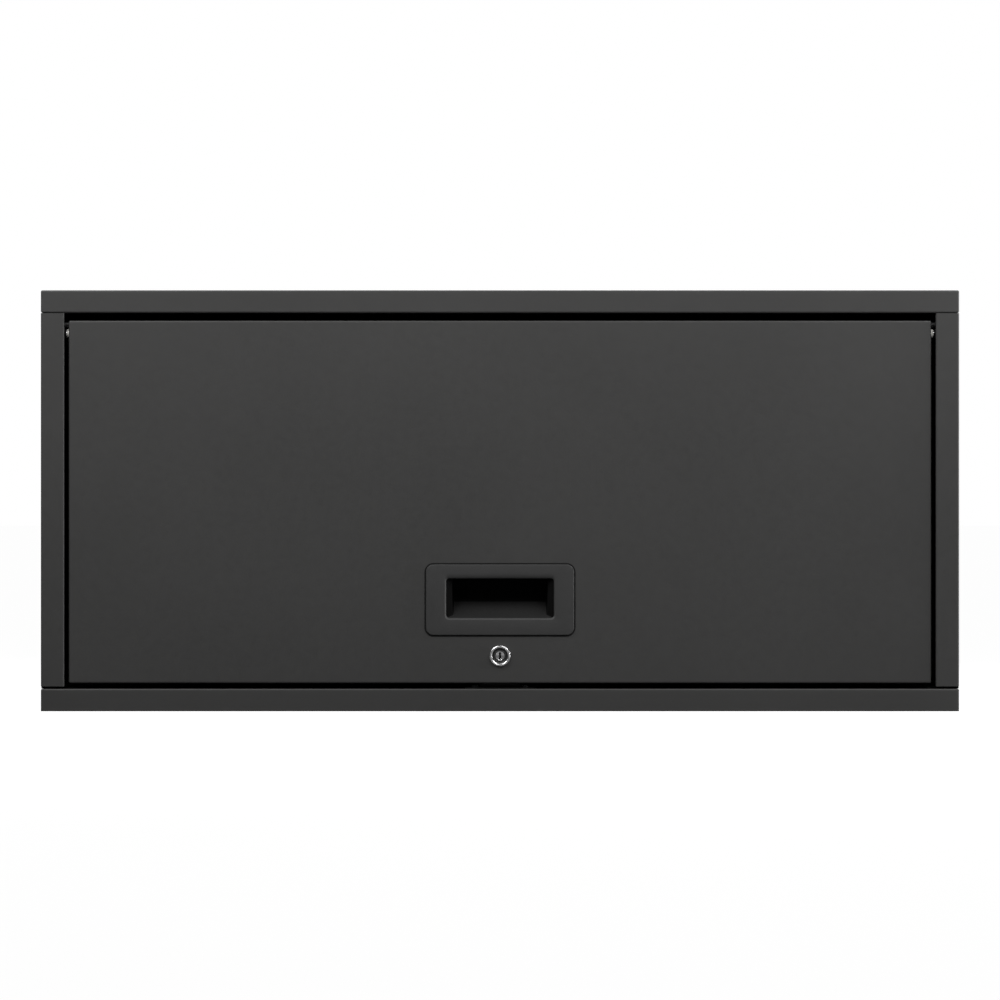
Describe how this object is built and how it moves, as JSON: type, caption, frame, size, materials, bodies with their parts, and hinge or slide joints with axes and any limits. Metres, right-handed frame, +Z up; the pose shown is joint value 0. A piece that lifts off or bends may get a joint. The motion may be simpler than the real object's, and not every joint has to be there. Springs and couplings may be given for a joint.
{
  "type": "parcel drop box",
  "caption": "Wide lockable steel cabinet with a flip-up front door that slides back under the top, with a recessed finger pull and a cam lock.",
  "frame": {"origin": "middle of the underside, on the surface that the cabinet stands on", "axes": "+X to the right along the width as seen from the front, +Y from the door to the back, +Z up"},
  "size_m": [0.914, 0.4589, 0.419],
  "materials": {
    "powder_coat": "charcoal satin powder coat on sheet steel",
    "painted_rivet": "charcoal satin paint on steel rivets",
    "galvanised": "galvanised",
    "zinc_plate": "bright zinc plate",
    "lock_chrome": "polished chrome plate",
    "white_nylon": "natural nylon",
    "black_nylon": "black glass-filled nylon",
    "charcoal_moulding": "charcoal satin moulding",
    "bumper_rubber": "black rubber"
  },
  "bodies": {
    "cabinet": {"top_cap": "powder_coat", "base_pan": "powder_coat", "base_rails": "powder_coat", "left_side_panel": "powder_coat", "right_side_panel": "powder_coat", "back_panel": "powder_coat", "top_stiffener": "powder_coat", "deck_stiffener": "powder_coat", "anchor_tubes": "galvanised", "case_rivets": "painted_rivet", "back_rivets": "painted_rivet", "left_track": "galvanised", "right_track": "galvanised", "track_screws": "zinc_plate", "left_rack": "white_nylon", "right_rack": "white_nylon", "rear_stops": "bumper_rubber", "front_bumpers": "bumper_rubber", "lock_strike": "powder_coat", "strike_screws": "zinc_plate"},
    "carriage": {"left_glide": "black_nylon", "right_glide": "black_nylon"},
    "rod": {"pivot_rod": "zinc_plate", "left_pinion": "white_nylon", "right_pinion": "white_nylon"},
    "lock_core": {"lock_plug": "lock_chrome", "lock_cam": "zinc_plate", "cam_washer": "zinc_plate", "cam_screw": "zinc_plate"},
    "door": {"door_skin": "powder_coat", "door_liner": "powder_coat", "liner_screws": "zinc_plate", "door_stiffeners": "powder_coat", "left_hinge_bracket": "galvanised", "right_hinge_bracket": "galvanised", "bracket_rivets": "painted_rivet", "left_pivot_bush": "white_nylon", "right_pivot_bush": "white_nylon", "stop_pins": "black_nylon", "handle_bezel": "charcoal_moulding", "handle_cup": "black_nylon", "handle_push_nuts": "zinc_plate", "lock_housing": "lock_chrome", "lock_nut": "zinc_plate", "lock_washer": "zinc_plate"}
  },
  "joints": [
    {"name": "door_slide", "type": "slide", "parent": "cabinet", "child": "carriage", "axis": [0, 1, 0], "range_m": [0, 0.315]},
    {"name": "rod_roll", "type": "hinge", "parent": "carriage", "child": "rod", "pos_m": [0, -0.215, 0.3763], "axis": [1, 0, 0], "continuous": true},
    {"name": "door_swing", "type": "hinge", "parent": "carriage", "child": "door", "pos_m": [0, -0.215, 0.3763], "axis": [-1, 0, 0], "range_deg": [0, 90]},
    {"name": "lock_turn", "type": "hinge", "parent": "door", "child": "lock_core", "pos_m": [0, -0.227, 0.0552], "axis": [0, 1, 0], "range_deg": [0, 90]}
  ],
  "couplings": [
    {"joint": "rod_roll", "follows": "door_slide", "rad_per_m": -133.33}
  ]
}
